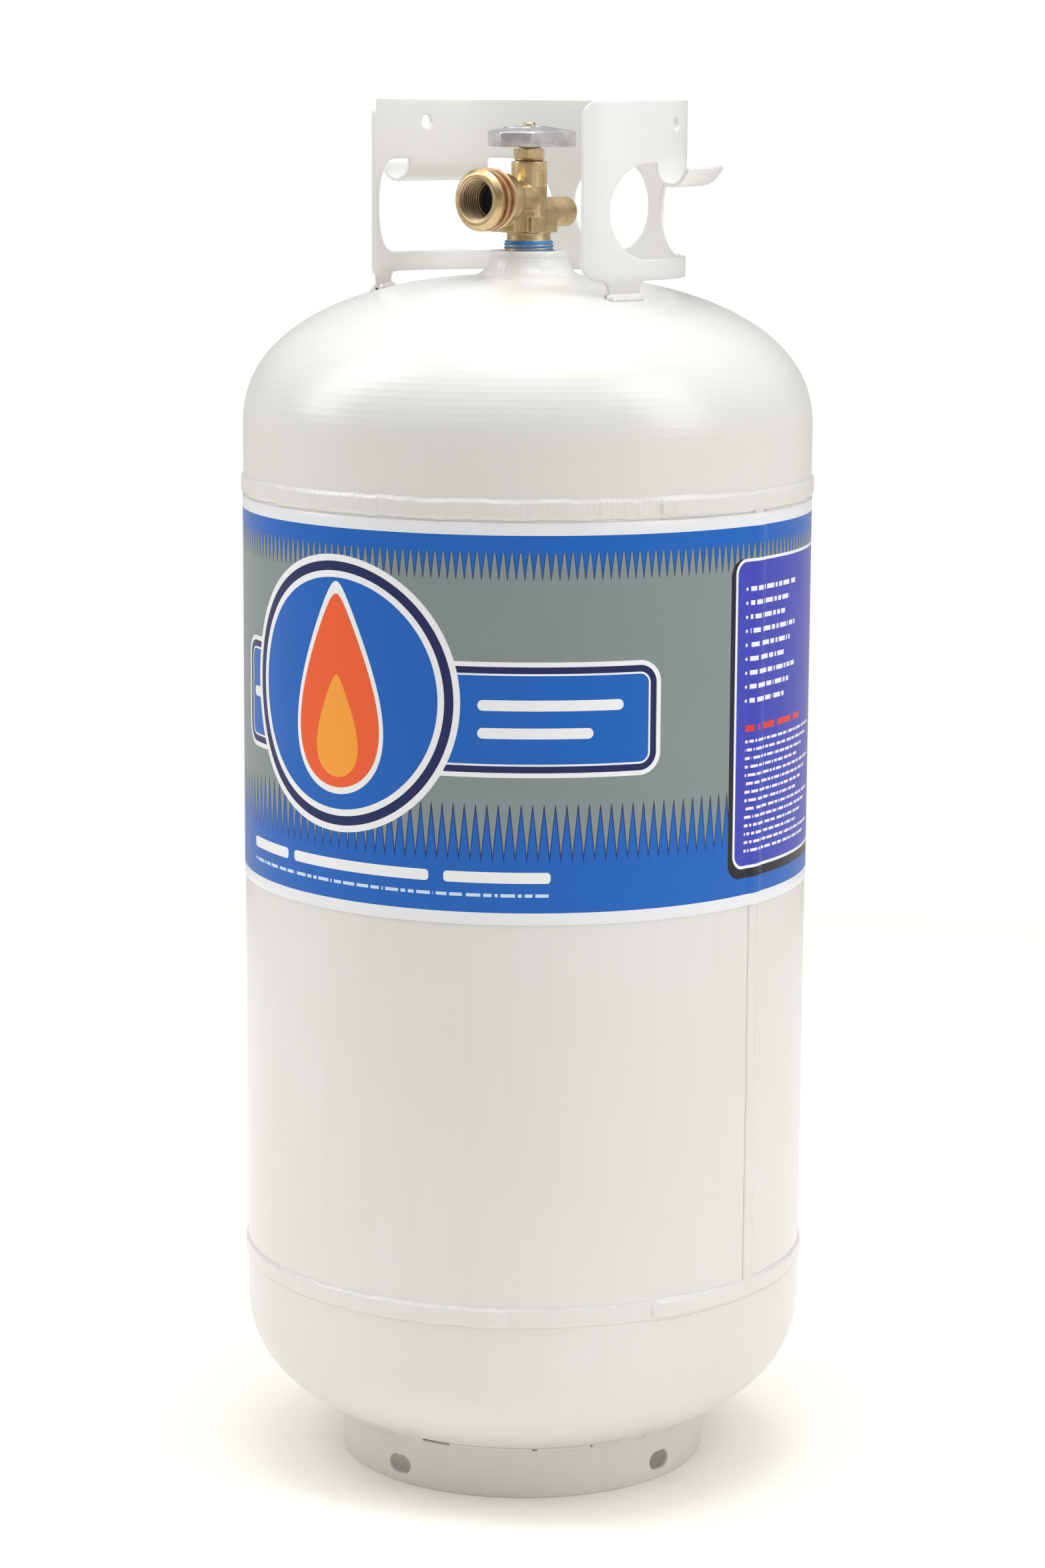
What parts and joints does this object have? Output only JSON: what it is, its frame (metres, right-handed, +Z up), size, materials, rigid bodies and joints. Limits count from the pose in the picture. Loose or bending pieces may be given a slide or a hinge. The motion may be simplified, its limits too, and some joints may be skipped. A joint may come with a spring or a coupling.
{
  "type": "propane cylinder",
  "caption": "Upright steel LP gas cylinder with a guard collar, foot ring, printed sleeve and brass valve with relief, bleeder and overfill float.",
  "frame": {"origin": "centre of the foot ring at its bottom face, on the vessel axis", "axes": "+Z up along the vessel; -Y is the way the valve outlet faces; +Y is the relief valve side; the seam is at +X"},
  "size_m": [0.313, 0.313, 0.7515],
  "materials": {
    "shell_paint": "glossy warm white powder coat",
    "label_film": "printed film sleeve, glossy",
    "forged_brass": "forged, fine sand texture",
    "machined_brass": "turned bright",
    "wheel_metal": "die cast, slightly pitted",
    "spring_wire": "drawn wire",
    "black_rubber": "moulded, satin",
    "white_resin": "moulded acetal",
    "dark_resin": "moulded acetal",
    "sealant": "dried thread sealant",
    "red_fibre": "fibre washer",
    "float_foam": "closed-cell foam"
  },
  "bodies": {
    "cylinder": {"top_head": "shell_paint", "body_shell": "shell_paint", "bottom_head": "shell_paint", "upper_girth_weld": "shell_paint", "lower_girth_weld": "shell_paint", "long_seam_weld": "shell_paint", "valve_spud": "shell_paint", "spud_weld": "shell_paint", "collar": "shell_paint", "collar_welds": "shell_paint", "foot_ring": "shell_paint", "foot_ring_welds": "shell_paint", "label_sleeve": "label_film", "valve_body": "forged_brass", "thread_sealant": "sealant", "gland_nut": "machined_brass", "thrust_washer": "white_resin", "outlet_seal": "black_rubber", "check_housing": "machined_brass", "check_spring": "spring_wire", "relief_spring": "spring_wire", "relief_adjuster": "machined_brass", "bleeder_seal": "red_fibre", "dip_tube": "machined_brass", "opd_housing": "white_resin", "float_pivot_pin": "spring_wire"},
    "stem": {"spindle": "machined_brass", "stem_seals": "black_rubber", "handwheel": "wheel_metal", "handwheel_screw": "machined_brass"},
    "plug": {"seat_plug": "machined_brass", "seat_disc": "black_rubber"},
    "check": {"check_plunger": "dark_resin"},
    "relief": {"relief_poppet": "machined_brass", "relief_seat_disc": "black_rubber"},
    "bleeder": {"bleeder_screw": "machined_brass"},
    "shutoff_piston": {"opd_piston": "white_resin", "opd_piston_pad": "black_rubber"},
    "float_lever": {"float_arm": "spring_wire", "float": "float_foam"}
  },
  "joints": [
    {"name": "handwheel_turn", "type": "hinge", "parent": "cylinder", "child": "stem", "pos_m": [0, 0, 0.7325], "axis": [0, 0, 1], "range_deg": [0, 540]},
    {"name": "seat_lift", "type": "slide", "parent": "stem", "child": "plug", "axis": [0, 0, 1], "range_m": [0, 0.003]},
    {"name": "check_push", "type": "slide", "parent": "cylinder", "child": "check", "axis": [0, 1, 0], "range_m": [0, 0.003], "stiffness_N_per_m": 800, "springref_m": -0.004, "deforming": ["check_spring"]},
    {"name": "relief_lift", "type": "slide", "parent": "cylinder", "child": "relief", "axis": [0, 1, 0], "range_m": [0, 0.0015], "stiffness_N_per_m": 15000, "springref_m": -0.0057, "deforming": ["relief_spring"]},
    {"name": "bleeder_turn", "type": "hinge", "parent": "cylinder", "child": "bleeder", "pos_m": [-0.015, 0, 0.685], "axis": [-1, 0, 0], "range_deg": [0, 360]},
    {"name": "float_swing", "type": "hinge", "parent": "cylinder", "child": "float_lever", "pos_m": [0, 0, 0.553], "axis": [0, -1, 0], "range_deg": [0, 55]},
    {"name": "opd_lift", "type": "slide", "parent": "cylinder", "child": "shutoff_piston", "axis": [0, 0, 1], "range_m": [0, 0.002]}
  ],
  "couplings": [
    {"joint": "seat_lift", "follows": "handwheel_turn", "m_per_rad": 0.000318},
    {"joint": "opd_lift", "follows": "float_swing", "m_per_rad": 0.00208}
  ]
}
